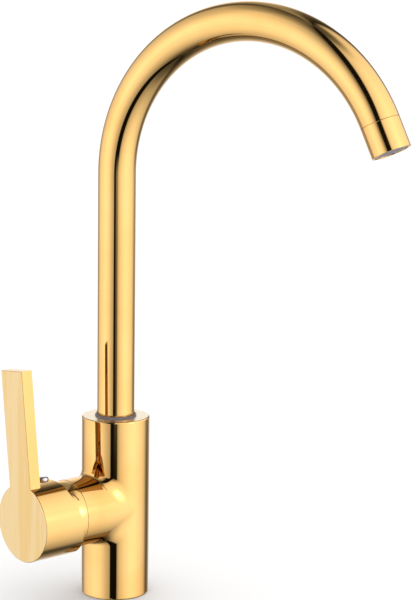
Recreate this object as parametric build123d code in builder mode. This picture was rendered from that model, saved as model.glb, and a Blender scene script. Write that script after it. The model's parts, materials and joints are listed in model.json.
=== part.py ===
from build123d import *
import os
from math import acos, cos, degrees, hypot, radians, sin, sqrt, tan

os.makedirs("parts", exist_ok=True)

# A single-lever kitchen mixer tap with a high swivel spout. Sizes are in millimetres
# and angles in degrees. The deck face is z = 0, the spout turns about the Z axis and
# the branch that carries the handle points along -X.

# ---------------------------------------------------------------- driving sizes

# Cartridge, which sets the branch and, through it, the body
cartridge_radius = 19.9
cartridge_clearance = 0.1
nut_wall = 1.95                 # thread ring outside the cartridge
branch_wall = 3.45              # brass left outside the nut
body_margin = 0.1               # body radius over branch radius

# Body
body_height = 137.0
body_top_round = 1.2
body_foot_round = 1.5
branch_height = 68.8            # branch axis above the deck
branch_length = 46.7            # swivel axis to the branch's end face
branch_blend = 6.5
branch_edge_round = 0.5

# Recess under the body, and the gasket in its mouth
foot_wall = 5.0
recess_depth = 44.0
gasket_width = 2.0
gasket_thickness = 2.0

# Waterways in the body
inlet_thread_radius = 4.5       # M10 x 1, at its minor diameter
inlet_thread_depth = 12.0
inlet_offset = 10.0             # from the swivel axis towards the branch
stud_thread_radius = 3.4        # M8
stud_thread_depth = 11.0
stud_offset = 9.5               # from the swivel axis, away from the branch
stud_spread = 22.0              # between the two studs
chamber_radius = 12.5           # cored outlet chamber under the spout socket
chamber_offset = 7.0
chamber_floor_gap = 3.0         # brass between the studs' ends and the chamber
chamber_roof = 4.0              # socket floor over the chamber's off-centre part

# Spout tube
tube_radius = 14.0
tube_wall = 1.0
spout_turn = -75.6              # where the spout points at rest, from +X towards +Y
straight_top = 319.5            # height where the tube starts to bend
arc_radius = 114.0
arc_angle = 154.5

# Spout socket, bush and its rings
socket_depth = 39.0
socket_clearance = 0.4          # socket wall to tube
running_clearance = 0.05
bush_foot_gap = 0.3
bush_length = 20.0
bush_spigot = 8.0
bush_bore_radius = 10.5
seal_groove_depth = 2.0
seal_width = 2.4
seal_side_gap = 0.2
seal_lower_lift = 2.6           # bush foot to the lower seal's groove
seal_upper_lift = 14.6
snap_lift = 8.4
snap_height = 1.2
snap_bite = 1.0                 # how far the snap ring stands into the socket wall
snap_side_gap = 0.3
snap_gap = 6.4                  # between the snap ring's ends
slide_ring_width = 1.4
slide_ring_seat = 3.0
slide_ring_rise = 1.3
slide_ring_round = 0.4

# Outlet
insert_grip = 6.0               # length of the insert inside the tube
insert_thread = 8.0             # length of the insert inside the sleeve
insert_clearance = 0.3
insert_wall = 2.2
sleeve_length = 22.0
sleeve_wall = 2.0
sleeve_edge_round = 0.5
aerator_recess = 0.8            # aerator face inside the sleeve's mouth
aerator_length = 11.0
aerator_wall = 1.6
aerator_face = 2.0
aerator_rib = 0.7
aerator_cell = 1.9
aerator_washer = 1.4
aerator_clearance = 0.1
screen_thickness = 0.6
screen_hole_radius = 0.55
screen_pitch = 1.9

# Cartridge lengths, measured along the branch from the lever's pivot pin
seat_drop = 28.7                # pin back to the cartridge seat in the body
base_flange = 2.5
base_spigot = 2.5
fixed_disc_thickness = 3.5
disc_gap = 0.05
moving_disc_thickness = 3.45
coupler_thickness = 4.6
flange_lift = 0.4               # coupler to carrier flange
housing_wall = 2.4
housing_roof = 2.5
carrier_running_gap = 0.07
carrier_flange_gap = 0.05
neck_inset = 3.4                # cartridge radius over neck radius
neck_wall = 3.05
neck_top = 9.8                  # pin out to the end of the neck
carrier_top = 10.3
locating_pin_radius = 1.5
locating_pin_length = 2.5

# Discs and ports
disc_rim = 1.0                  # chamber wall to fixed disc
port_rim = 3.2
inlet_port_radius = 3.2
inlet_port_angle = 23.0         # above the branch's mid height
outlet_port_radius = 3.6
outlet_port_drop = 6.5
port_seal_width = 1.4
port_seal_thickness = 1.5
disc_side_gap = 0.7
pocket_radius = 9.0
pocket_depth = 2.0
pocket_drop = 2.5               # pocket centre below the moving disc's centre

# Lever stem and pin
stem_width = 8.0
stem_slot_gap = 0.3
stem_reach = 33.3               # pin out to the stem's tip
stem_fit = 0.1
stem_neck_radius = 2.2
stem_shoulder = 9.7             # pin back to the end of the square part
stem_arm = 13.7                 # pin back to the ball's centre
ball_radius = 2.8
ball_gap = 0.3
pin_radius = 2.0
pin_running_gap = 0.06
pin_inset = 1.0
lift_angle = 21.0

# Nut and bezel
nut_overhang = 5.3              # nut beyond the branch's end face
nut_grip = 6.2                  # nut inside the branch
nut_slots = 6
nut_slot_width = 4.0
nut_slot_depth = 2.5
bezel_step = 0.3                # bezel dome under the branch radius
bezel_wall = 1.6
bezel_fit = 0.1
bezel_mouth_radius = 17.5

# Handle: barrel, face and lever in one casting
handle_turn = 6.6               # lever's turn about the branch axis at rest
barrel_gap = 1.1                # bezel dome to barrel bore
barrel_wall = 2.5
face_reach = 41.5               # pin out to the handle's flat face
face_thickness = 6.2
rim_clearance = 0.2             # lower rim under the branch at full lift
rim_rake = 12.0
rim_round = 0.6
lever_width = 24.8
lever_thickness = 9.2
lever_height = 112.2            # above the branch axis
lever_round = 0.7
boss_radius = 7.5
boss_start = 15.8               # pin out to the boss's inner end
screw_reach = 19.8              # pin out to the set screw
screw_radius = 2.5
screw_length = 6.0
screw_key = 2.5                 # hexagon across flats
screw_pad_radius = 5.0
screw_pad_top = 11.0
screw_fit = 0.05
plug_shank_radius = 2.9
plug_shank_length = 3.3
plug_head_radius = 4.0
plug_seat_drop = 0.8            # head seat under the barrel's top line
plug_side = 1.4
plug_rise = 3.4                 # head seat to the top of the dome
plug_fit = 0.1

# ---------------------------------------------------------------- derived sizes

cartridge_bore = cartridge_radius + cartridge_clearance
nut_radius = cartridge_bore + nut_wall
branch_radius = nut_radius + branch_wall
body_radius = branch_radius + body_margin
recess_radius = body_radius - foot_wall

pivot_reach = branch_length
seat_reach = pivot_reach - seat_drop

tube_bore = tube_radius - tube_wall
socket_radius = tube_radius + socket_clearance
socket_floor = body_height - socket_depth
bush_radius = socket_radius - running_clearance
bush_foot = socket_floor + bush_foot_gap
tube_foot = bush_foot + bush_length
groove_radius = bush_radius - seal_groove_depth
slide_ring_bore = tube_radius + 2 * running_clearance
slide_ring_radius = slide_ring_bore + slide_ring_width
snap_radius = socket_radius + snap_bite

base_top = seat_reach + base_flange + base_spigot
fixed_disc_top = base_top + fixed_disc_thickness
moving_disc_foot = fixed_disc_top + disc_gap
moving_disc_top = moving_disc_foot + moving_disc_thickness
coupler_top = moving_disc_top + coupler_thickness
carrier_foot = coupler_top + flange_lift
chamber_wall_radius = cartridge_radius - housing_wall
neck_radius = cartridge_radius - neck_inset
neck_bore = neck_radius - neck_wall
carrier_radius = neck_bore - carrier_running_gap
carrier_flange_radius = chamber_wall_radius - 2 * cartridge_clearance
nut_foot = branch_length - nut_grip
shoulder_reach = nut_foot
roof_under = shoulder_reach - housing_roof

lift_sin = sin(radians(lift_angle))
lift_cos = cos(radians(lift_angle))
lift_tan = lift_sin / lift_cos
disc_travel = stem_arm * lift_sin
fixed_disc_radius = chamber_wall_radius - disc_rim
moving_disc_radius = chamber_wall_radius - disc_travel / 2 - disc_side_gap
moving_disc_rest = -disc_travel / 2
port_circle = fixed_disc_radius - port_rim - inlet_port_radius
inlet_port_across = port_circle * cos(radians(inlet_port_angle))
inlet_port_up = port_circle * sin(radians(inlet_port_angle))
inlet_port_spots = [(inlet_port_across, inlet_port_up), (-inlet_port_across, inlet_port_up)]
port_list = [
    (inlet_port_spots[0], inlet_port_radius),
    (inlet_port_spots[1], inlet_port_radius),
    ((0, -outlet_port_drop), outlet_port_radius),
]
locating_pin_across = port_circle + inlet_port_radius
locating_pin_spots = [(locating_pin_across, -inlet_port_up), (-locating_pin_across, -inlet_port_up)]
chamber_floor = recess_depth + stud_thread_depth + chamber_floor_gap

bezel_radius = branch_radius - bezel_step
barrel_bore = bezel_radius + barrel_gap
barrel_radius = barrel_bore + barrel_wall
# The lower rim stands out from the pin so far that it passes under the branch at full lift
lower_rim_reach = (branch_radius + rim_clearance - barrel_bore * lift_cos) / lift_sin
rim_reach = lower_rim_reach + barrel_bore * tan(radians(rim_rake))
face_plane_reach = pivot_reach + face_reach
plug_seat = barrel_radius - plug_seat_drop

# ---------------------------------------------------------------- planes and axes

# Across the branch: x is level, y is up, z points out along the branch
branch_plane = Plane(origin=(0, 0, branch_height), x_dir=(0, -1, 0), z_dir=(-1, 0, 0))
# The same, turned with the lever: x is the lift pin's direction and y runs up the lever
turn_cos = cos(radians(handle_turn))
turn_sin = sin(radians(handle_turn))
pin_direction = (0, -turn_cos, turn_sin)
lever_direction = (0, turn_sin, turn_cos)
handle_plane = Plane(origin=(0, 0, branch_height), x_dir=pin_direction, z_dir=(-1, 0, 0))
# Along the branch: x points out along the branch and y away from its axis
branch_section = Plane(origin=(0, 0, branch_height), x_dir=(-1, 0, 0), z_dir=(0, 1, 0))
branch_axis = Axis((0, 0, branch_height), (-1, 0, 0))
# The same, with its origin at the lift pin, the centre of the bezel's dome
dome_section = Plane(origin=(-pivot_reach, 0, branch_height), x_dir=(-1, 0, 0), z_dir=(0, 1, 0))
# Through the swivel axis: x is the radius and y the height
swivel_section = Plane.XZ
# Through the lift pin, square to it
pin_plane = Plane(origin=(-pivot_reach, 0, branch_height), x_dir=(-1, 0, 0), z_dir=pin_direction)
# In the spout's own plane: x is the reach and y the height
spout_cos = cos(radians(spout_turn))
spout_sin = sin(radians(spout_turn))
spout_plane = Plane(origin=(0, 0, 0), x_dir=(spout_cos, spout_sin, 0), z_dir=(spout_sin, -spout_cos, 0))


def save(part, name):
    """Label a finished part and write its STEP file."""
    part.label = name
    export_step(part, f"parts/{name}.step")


# ---------------------------------------------------------------- body

with BuildPart() as body:
    Cylinder(body_radius, body_height, align=(Align.CENTER, Align.CENTER, Align.MIN))
    with BuildSketch(branch_plane):
        Circle(branch_radius)
    extrude(amount=branch_length)
    fillet(body.edges().filter_by(GeomType.BSPLINE), branch_blend)
    fillet(body.edges().group_by(Axis.Z)[-1], body_top_round)
    fillet(body.edges().group_by(Axis.Z)[0], body_foot_round)
    fillet(body.faces().sort_by(Axis.X)[0].edges(), branch_edge_round)
    # Recess and gasket groove in the foot
    with BuildSketch(Plane.XY):
        Circle(recess_radius)
    extrude(amount=recess_depth, mode=Mode.SUBTRACT)
    with BuildSketch(Plane.XY):
        Circle(recess_radius + gasket_width)
    extrude(amount=gasket_thickness, mode=Mode.SUBTRACT)
    # Spout socket with its snap ring groove and slide ring seat
    snap_floor = bush_foot + snap_lift - snap_side_gap
    snap_ceiling = bush_foot + snap_lift + snap_height + snap_side_gap
    with BuildSketch(swivel_section):
        with BuildLine():
            Polyline(
                (0, socket_floor),
                (socket_radius, socket_floor),
                (socket_radius, snap_floor),
                (snap_radius + snap_side_gap, snap_floor),
                (snap_radius + snap_side_gap, snap_ceiling),
                (socket_radius, snap_ceiling),
                (socket_radius, body_height - slide_ring_seat),
                (slide_ring_radius, body_height - slide_ring_seat),
                (slide_ring_radius, body_height + 1),
                (0, body_height + 1),
                close=True,
            )
        make_face()
    revolve(axis=Axis.Z, mode=Mode.SUBTRACT)
    # Cartridge bore and nut thread in the branch
    with BuildSketch(branch_plane.offset(seat_reach)):
        Circle(cartridge_bore)
    extrude(amount=branch_length, mode=Mode.SUBTRACT)
    with BuildSketch(branch_plane.offset(nut_foot)):
        Circle(nut_radius)
    extrude(amount=branch_length, mode=Mode.SUBTRACT)
    with BuildSketch(branch_plane.offset(seat_reach)):
        with Locations(*locating_pin_spots):
            Circle(locating_pin_radius + cartridge_clearance)
    extrude(amount=-locating_pin_length - cartridge_clearance, mode=Mode.SUBTRACT)
    # Inlets: threaded mouths, risers and the ports in the seat
    inlet_spots = [(-inlet_offset, inlet_port_across), (-inlet_offset, -inlet_port_across)]
    with BuildSketch(Plane.XY.offset(recess_depth)):
        with Locations(*inlet_spots):
            Circle(inlet_thread_radius)
    extrude(amount=inlet_thread_depth, mode=Mode.SUBTRACT)
    with BuildSketch(Plane.XY.offset(recess_depth)):
        with Locations(*inlet_spots):
            Circle(inlet_port_radius)
    extrude(amount=branch_height + inlet_port_up - recess_depth, mode=Mode.SUBTRACT)
    with BuildSketch(branch_plane.offset(inlet_offset)):
        with Locations(*inlet_port_spots):
            Circle(inlet_port_radius)
    extrude(amount=seat_reach - inlet_offset, mode=Mode.SUBTRACT)
    # Outlet: port, cored chamber and the way up into the socket
    with BuildSketch(branch_plane):
        with Locations((0, -outlet_port_drop)):
            Circle(outlet_port_radius)
    extrude(amount=seat_reach, mode=Mode.SUBTRACT)
    with BuildSketch(Plane.XY.offset(chamber_floor)):
        with Locations((chamber_offset, 0)):
            Circle(chamber_radius)
    extrude(amount=socket_floor - chamber_floor - chamber_roof, mode=Mode.SUBTRACT)
    with BuildSketch(Plane.XY.offset(chamber_floor)):
        Circle(bush_bore_radius)
    extrude(amount=socket_floor - chamber_floor, mode=Mode.SUBTRACT)
    # Threaded holes for the two fixing studs
    with BuildSketch(Plane.XY.offset(recess_depth)):
        with Locations((stud_offset, stud_spread / 2), (stud_offset, -stud_spread / 2)):
            Circle(stud_thread_radius)
    extrude(amount=stud_thread_depth, mode=Mode.SUBTRACT)
save(body.part, "body")

with BuildPart() as base_gasket:
    with BuildSketch(Plane.XY):
        Circle(recess_radius + gasket_width)
        Circle(recess_radius, mode=Mode.SUBTRACT)
    extrude(amount=gasket_thickness)
save(base_gasket.part, "base_gasket")

# ---------------------------------------------------------------- spout

with BuildPart() as spout_tube:
    with BuildLine(spout_plane):
        rise = Line((0, tube_foot), (0, straight_top))
        bend = JernArc(start=rise @ 1, tangent=rise % 1, radius=arc_radius, arc_size=-arc_angle)
    with BuildSketch(Plane(origin=(0, 0, tube_foot), z_dir=(0, 0, 1))):
        Circle(tube_radius)
        Circle(tube_bore, mode=Mode.SUBTRACT)
    sweep()
save(spout_tube.part, "spout_tube")

# The outlet's own line: x runs out of the tube's end, y away from its axis
outlet_origin = bend @ 1
outlet_direction = bend % 1
outlet_section = Plane(origin=outlet_origin, x_dir=outlet_direction, z_dir=spout_plane.z_dir)
outlet_axis = Axis(outlet_origin, outlet_direction)
outlet_plane = Plane(origin=outlet_origin, x_dir=spout_plane.z_dir, z_dir=outlet_direction)

with BuildPart() as spout_bush:
    with BuildSketch(Plane.XY.offset(bush_foot)):
        Circle(bush_radius)
    extrude(amount=bush_length)
    with BuildSketch(Plane.XY.offset(tube_foot)):
        Circle(tube_bore)
    extrude(amount=bush_spigot)
    for lift, height in (
        (seal_lower_lift, seal_width + 2 * seal_side_gap),
        (seal_upper_lift, seal_width + 2 * seal_side_gap),
        (snap_lift, snap_height),
    ):
        with BuildSketch(Plane.XY.offset(bush_foot + lift)):
            Circle(bush_radius)
            Circle(groove_radius, mode=Mode.SUBTRACT)
        extrude(amount=height, mode=Mode.SUBTRACT)
    with BuildSketch(Plane.XY.offset(bush_foot)):
        Circle(bush_bore_radius)
    extrude(amount=bush_length + bush_spigot, mode=Mode.SUBTRACT)
save(spout_bush.part, "spout_bush")

for name, lift in (("spout_o_ring_lower", seal_lower_lift), ("spout_o_ring_upper", seal_upper_lift)):
    with BuildPart() as spout_o_ring:
        seal_middle = bush_foot + lift + seal_side_gap + seal_width / 2
        with BuildSketch(swivel_section):
            with Locations(((groove_radius + bush_radius) / 2, seal_middle)):
                Ellipse((bush_radius - groove_radius) / 2, seal_width / 2)
        revolve(axis=Axis.Z)
    save(spout_o_ring.part, name)

with BuildPart() as spout_snap_ring:
    with BuildSketch(Plane.XY.offset(bush_foot + snap_lift)):
        Circle(snap_radius)
        Circle(groove_radius, mode=Mode.SUBTRACT)
        with Locations((snap_radius, 0)):
            Rectangle(2 * snap_radius, snap_gap, mode=Mode.SUBTRACT)
    extrude(amount=snap_height)
save(spout_snap_ring.part, "spout_snap_ring")

with BuildPart() as spout_slide_ring:
    with BuildSketch(Plane.XY.offset(body_height - slide_ring_seat)):
        Circle(slide_ring_radius)
        Circle(slide_ring_bore, mode=Mode.SUBTRACT)
    extrude(amount=slide_ring_seat + slide_ring_rise)
    fillet(spout_slide_ring.edges().group_by(Axis.Z)[-1], slide_ring_round)
save(spout_slide_ring.part, "spout_slide_ring")

# ---------------------------------------------------------------- outlet

insert_radius = tube_bore - insert_clearance
insert_bore = insert_radius - insert_wall
sleeve_bore = tube_radius - sleeve_wall
aerator_radius = sleeve_bore - aerator_clearance
aerator_foot = sleeve_length - aerator_recess - aerator_length
washer_foot = aerator_foot - aerator_washer

with BuildPart() as outlet_insert:
    with BuildSketch(outlet_section):
        with BuildLine():
            Polyline(
                (-insert_grip, insert_bore),
                (-insert_grip, insert_radius),
                (0, insert_radius),
                (0, sleeve_bore),
                (insert_thread, sleeve_bore),
                (insert_thread, insert_bore),
                close=True,
            )
        make_face()
    revolve(axis=outlet_axis)
save(outlet_insert.part, "outlet_insert")

with BuildPart() as aerator_sleeve:
    with BuildSketch(outlet_plane):
        Circle(tube_radius)
        Circle(sleeve_bore, mode=Mode.SUBTRACT)
    extrude(amount=sleeve_length)
    rims = aerator_sleeve.edges().filter_by(GeomType.CIRCLE)
    fillet(rims, sleeve_edge_round)
save(aerator_sleeve.part, "aerator_sleeve")

with BuildPart() as aerator_gasket:
    with BuildSketch(outlet_plane.offset(washer_foot)):
        Circle(aerator_radius)
        Circle(insert_bore, mode=Mode.SUBTRACT)
    extrude(amount=aerator_washer)
save(aerator_gasket.part, "aerator_gasket")

with BuildPart() as aerator_core:
    core_bore = aerator_radius - aerator_wall
    with BuildSketch(outlet_plane.offset(aerator_foot)):
        Circle(aerator_radius)
    extrude(amount=aerator_length)
    with BuildSketch(outlet_plane.offset(aerator_foot)):
        Circle(core_bore)
    extrude(amount=aerator_length - aerator_face, mode=Mode.SUBTRACT)
    # Square cells through the face, those that lie wholly inside its rim
    pitch = aerator_cell + aerator_rib
    reach = int(core_bore / pitch)
    cells = [
        (column * pitch, row * pitch)
        for column in range(-reach, reach + 1)
        for row in range(-reach, reach + 1)
        if hypot(abs(column) * pitch + aerator_cell / 2, abs(row) * pitch + aerator_cell / 2) < core_bore
    ]
    with BuildSketch(outlet_plane.offset(aerator_foot)):
        with Locations(*cells):
            Rectangle(aerator_cell, aerator_cell)
    extrude(amount=aerator_length, mode=Mode.SUBTRACT)
save(aerator_core.part, "aerator_core")

with BuildPart() as aerator_screen:
    screen_radius = core_bore - aerator_clearance
    screen_foot = aerator_foot + aerator_length - aerator_face - screen_thickness
    with BuildSketch(outlet_plane.offset(screen_foot)):
        Circle(screen_radius)
        reach = int(screen_radius / screen_pitch)
        hole_limit = screen_radius - screen_hole_radius - aerator_rib
        holes = [
            (column * screen_pitch, row * screen_pitch)
            for column in range(-reach, reach + 1)
            for row in range(-reach, reach + 1)
            if screen_pitch * hypot(column, row) < hole_limit
        ]
        with Locations(*holes):
            Circle(screen_hole_radius, mode=Mode.SUBTRACT)
    extrude(amount=screen_thickness)
save(aerator_screen.part, "aerator_screen")

# ---------------------------------------------------------------- cartridge

with BuildPart() as cartridge_base:
    with BuildSketch(branch_plane.offset(seat_reach)):
        Circle(cartridge_radius)
    extrude(amount=base_flange)
    with BuildSketch(branch_plane.offset(seat_reach + base_flange)):
        Circle(chamber_wall_radius)
    extrude(amount=base_spigot)
    with BuildSketch(branch_plane.offset(seat_reach)):
        with Locations(*locating_pin_spots):
            Circle(locating_pin_radius)
    extrude(amount=-locating_pin_length)
    for spot, radius in port_list:
        with BuildSketch(branch_plane.offset(seat_reach)):
            with Locations(spot):
                Circle(radius)
        extrude(amount=base_flange + base_spigot, mode=Mode.SUBTRACT)
        with BuildSketch(branch_plane.offset(seat_reach)):
            with Locations(spot):
                Circle(radius + port_seal_width)
        extrude(amount=port_seal_thickness, mode=Mode.SUBTRACT)
save(cartridge_base.part, "cartridge_base")

with BuildPart() as cartridge_seals:
    for spot, radius in port_list:
        with BuildSketch(branch_plane.offset(seat_reach)):
            with Locations(spot):
                Circle(radius + port_seal_width)
                Circle(radius, mode=Mode.SUBTRACT)
        extrude(amount=port_seal_thickness)
save(cartridge_seals.part, "cartridge_seals")

with BuildPart() as ceramic_disc_fixed:
    with BuildSketch(branch_plane.offset(base_top)):
        Circle(fixed_disc_radius)
        for spot, radius in port_list:
            with Locations(spot):
                Circle(radius, mode=Mode.SUBTRACT)
    extrude(amount=fixed_disc_thickness)
save(ceramic_disc_fixed.part, "ceramic_disc_fixed")

with BuildPart() as ceramic_disc_moving:
    with BuildSketch(handle_plane.offset(moving_disc_foot)):
        with Locations((0, moving_disc_rest)):
            Circle(moving_disc_radius)
    extrude(amount=moving_disc_thickness)
    with BuildSketch(handle_plane.offset(moving_disc_foot)):
        with Locations((0, moving_disc_rest - pocket_drop)):
            Circle(pocket_radius)
    extrude(amount=pocket_depth, mode=Mode.SUBTRACT)
save(ceramic_disc_moving.part, "ceramic_disc_moving")

with BuildPart() as disc_coupler:
    with BuildSketch(handle_plane.offset(moving_disc_top)):
        with Locations((0, moving_disc_rest)):
            Circle(moving_disc_radius)
        Rectangle(2 * (ball_radius + ball_gap), 2 * (ball_radius + ball_gap), mode=Mode.SUBTRACT)
    extrude(amount=coupler_thickness)
save(disc_coupler.part, "disc_coupler")

with BuildPart() as cartridge_housing:
    with BuildSketch(branch_section):
        with BuildLine():
            Polyline(
                (seat_reach + base_flange, chamber_wall_radius),
                (seat_reach + base_flange, cartridge_radius),
                (shoulder_reach, cartridge_radius),
                (shoulder_reach, neck_radius),
                (pivot_reach + neck_top, neck_radius),
                (pivot_reach + neck_top, neck_bore),
                (roof_under, neck_bore),
                (roof_under, chamber_wall_radius),
                close=True,
            )
        make_face()
    revolve(axis=branch_axis)
save(cartridge_housing.part, "cartridge_housing")

slot_half_width = stem_width / 2 + stem_slot_gap
slot_low = carrier_top * lift_tan + stem_width / 2 / lift_cos + 2 * stem_slot_gap
slot_high = stem_shoulder * lift_tan + stem_width / 2 / lift_cos

with BuildPart() as cartridge_carrier:
    with BuildSketch(handle_plane.offset(carrier_foot)):
        Circle(carrier_flange_radius)
    extrude(amount=roof_under - carrier_flange_gap - carrier_foot)
    with BuildSketch(handle_plane.offset(carrier_foot)):
        Circle(carrier_radius)
    extrude(amount=pivot_reach + carrier_top - carrier_foot)
    with BuildSketch(handle_plane.offset(carrier_foot)):
        with Locations((0, (slot_high - slot_low) / 2)):
            Rectangle(2 * slot_half_width, slot_high + slot_low)
    extrude(amount=pivot_reach + carrier_top - carrier_foot, mode=Mode.SUBTRACT)
    with BuildSketch(pin_plane):
        Circle(pin_radius)
    extrude(amount=carrier_radius, both=True, mode=Mode.SUBTRACT)
save(cartridge_carrier.part, "cartridge_carrier")

with BuildPart() as lift_pin:
    with BuildSketch(pin_plane):
        Circle(pin_radius)
    extrude(amount=carrier_radius - pin_inset, both=True)
save(lift_pin.part, "lift_pin")

with BuildPart() as cartridge_stem:
    with BuildSketch(handle_plane.offset(pivot_reach - stem_shoulder)):
        Rectangle(stem_width, stem_width)
    extrude(amount=stem_shoulder + stem_reach)
    with BuildSketch(handle_plane.offset(pivot_reach - stem_arm)):
        Circle(stem_neck_radius)
    extrude(amount=stem_arm - stem_shoulder)
    with Locations(handle_plane.offset(pivot_reach - stem_arm)):
        Sphere(ball_radius)
    with BuildSketch(pin_plane):
        Circle(pin_radius + pin_running_gap)
    extrude(amount=stem_width, both=True, mode=Mode.SUBTRACT)
save(cartridge_stem.part, "cartridge_stem")

with BuildPart() as cartridge_nut:
    with BuildSketch(branch_plane.offset(nut_foot)):
        Circle(nut_radius)
        Circle(neck_radius + cartridge_clearance, mode=Mode.SUBTRACT)
    extrude(amount=branch_length + nut_overhang - nut_foot)
    with BuildSketch(branch_plane.offset(branch_length + nut_overhang - nut_slot_depth)):
        with PolarLocations(nut_radius, nut_slots):
            Rectangle(2 * nut_wall, nut_slot_width)
    extrude(amount=nut_slot_depth, mode=Mode.SUBTRACT)
save(cartridge_nut.part, "cartridge_nut")

with BuildPart() as bezel_ring:
    dome_inner = bezel_radius - bezel_wall
    skirt_bore = nut_radius + bezel_fit
    mouth_outer = sqrt(bezel_radius**2 - bezel_mouth_radius**2)
    mouth_inner = sqrt(dome_inner**2 - bezel_mouth_radius**2)
    skirt_end = sqrt(dome_inner**2 - skirt_bore**2)
    outer_angle = degrees(acos(mouth_outer / bezel_radius))
    inner_angle = degrees(acos(mouth_inner / dome_inner))
    with BuildSketch(dome_section):
        with BuildLine():
            Line((0, skirt_bore), (0, bezel_radius))
            CenterArc((0, 0), bezel_radius, 90, outer_angle - 90)
            Line((mouth_outer, bezel_mouth_radius), (mouth_inner, bezel_mouth_radius))
            CenterArc((0, 0), dome_inner, inner_angle, degrees(acos(skirt_end / dome_inner)) - inner_angle)
            Line((skirt_end, skirt_bore), (0, skirt_bore))
        make_face()
    revolve(axis=branch_axis)
save(bezel_ring.part, "bezel_ring")

# ---------------------------------------------------------------- handle

# The rear rim's plane leans so that its top stands nearer to the body
rim_origin = (-(pivot_reach + rim_reach), 0, branch_height)
rim_normal = Vector(-1, 0, 0).rotate(Axis((0, 0, 0), pin_direction), rim_rake)
rim_plane = Plane(origin=rim_origin, x_dir=pin_direction, z_dir=rim_normal)
screw_plane = Plane(
    origin=(-(pivot_reach + screw_reach), 0, branch_height),
    x_dir=(-1, 0, 0),
    z_dir=lever_direction,
)

with BuildPart() as handle:
    with BuildSketch(handle_plane):
        Circle(barrel_radius)
    extrude(amount=face_plane_reach)
    with BuildSketch(handle_plane):
        Circle(barrel_bore)
    extrude(amount=face_plane_reach - face_thickness, mode=Mode.SUBTRACT)
    split(bisect_by=rim_plane, keep=Keep.TOP)
    fillet(handle.edges().sort_by(Axis.X)[-1], rim_round)
    with BuildSketch(handle_plane.offset(face_plane_reach)):
        with Locations((0, lever_height / 2)):
            Rectangle(lever_width, lever_height)
    extrude(amount=-lever_thickness)
    fillet(handle.faces().sort_by(Axis.X)[0].edges(), lever_round)
    # Boss with the stem's square socket, and its pad for the set screw
    with BuildSketch(handle_plane.offset(pivot_reach + boss_start)):
        Circle(boss_radius)
    extrude(amount=face_reach - boss_start - face_thickness)
    with BuildSketch(screw_plane):
        Circle(screw_pad_radius)
    extrude(amount=screw_pad_top)
    with BuildSketch(handle_plane.offset(pivot_reach)):
        Rectangle(stem_width + 2 * stem_fit, stem_width + 2 * stem_fit)
    extrude(amount=stem_reach + stem_fit, mode=Mode.SUBTRACT)
    # Set screw hole, and the plug's hole and seat above it
    with BuildSketch(screw_plane):
        Circle(screw_radius + screw_fit)
    extrude(amount=screw_pad_top, mode=Mode.SUBTRACT)
    with BuildSketch(screw_plane.offset(screw_pad_top)):
        Circle(plug_shank_radius + plug_fit)
    extrude(amount=barrel_radius, mode=Mode.SUBTRACT)
    with BuildSketch(screw_plane.offset(plug_seat)):
        Circle(plug_head_radius + plug_fit)
    extrude(amount=barrel_radius, mode=Mode.SUBTRACT)
save(handle.part, "handle")

with BuildPart() as handle_set_screw:
    screw_tip = stem_width / 2 + stem_fit
    with BuildSketch(screw_plane.offset(screw_tip)):
        Circle(screw_radius)
    extrude(amount=screw_length)
    with BuildSketch(screw_plane.offset(screw_tip + screw_length)):
        RegularPolygon(screw_key / 2, 6, major_radius=False)
    extrude(amount=-screw_key, mode=Mode.SUBTRACT)
save(handle_set_screw.part, "handle_set_screw")

with BuildPart() as indicator_plug:
    with BuildSketch(screw_plane.offset(plug_seat - plug_shank_length)):
        Circle(plug_shank_radius)
    extrude(amount=plug_shank_length)
    with BuildSketch(screw_plane.offset(plug_seat)):
        Circle(plug_head_radius)
    extrude(amount=plug_rise)
    fillet(indicator_plug.edges().filter_by(GeomType.CIRCLE).sort_by(Axis.Z)[-1], plug_rise - plug_side)
save(indicator_plug.part, "indicator_plug")

print("nodes:", len(os.listdir("parts")))
print("height", straight_top + arc_radius + tube_radius, "disc travel", round(disc_travel, 4))
print("outlet", outlet_origin, outlet_direction)
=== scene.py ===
"""Looks of a polished-gold, single-lever kitchen mixer tap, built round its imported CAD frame."""

import json
import logging
import math
from dataclasses import dataclass, field
from enum import Enum
from typing import Any, Callable, Optional, Sequence, Union

import bpy
import numpy as np
from mathutils import Matrix, Vector

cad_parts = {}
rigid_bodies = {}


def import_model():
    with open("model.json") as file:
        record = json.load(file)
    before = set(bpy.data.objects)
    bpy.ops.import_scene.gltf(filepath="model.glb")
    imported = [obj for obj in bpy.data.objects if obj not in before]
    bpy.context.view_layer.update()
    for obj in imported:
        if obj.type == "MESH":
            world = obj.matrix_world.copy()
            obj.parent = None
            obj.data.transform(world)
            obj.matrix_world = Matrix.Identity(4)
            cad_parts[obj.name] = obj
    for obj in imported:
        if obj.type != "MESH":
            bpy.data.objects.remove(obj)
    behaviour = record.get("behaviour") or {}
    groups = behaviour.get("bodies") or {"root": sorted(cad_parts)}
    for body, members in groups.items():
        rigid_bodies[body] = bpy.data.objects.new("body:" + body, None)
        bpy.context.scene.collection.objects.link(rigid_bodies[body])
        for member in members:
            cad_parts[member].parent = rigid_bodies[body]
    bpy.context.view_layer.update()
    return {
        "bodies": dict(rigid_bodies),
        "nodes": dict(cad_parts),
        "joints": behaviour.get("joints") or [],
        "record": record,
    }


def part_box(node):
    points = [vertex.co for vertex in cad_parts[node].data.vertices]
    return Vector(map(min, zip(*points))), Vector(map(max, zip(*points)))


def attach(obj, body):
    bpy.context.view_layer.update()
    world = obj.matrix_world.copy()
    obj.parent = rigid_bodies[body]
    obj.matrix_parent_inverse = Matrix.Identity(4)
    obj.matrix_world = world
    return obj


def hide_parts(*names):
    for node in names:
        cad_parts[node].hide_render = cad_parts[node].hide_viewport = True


log = logging.getLogger("mixer_tap")

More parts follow.
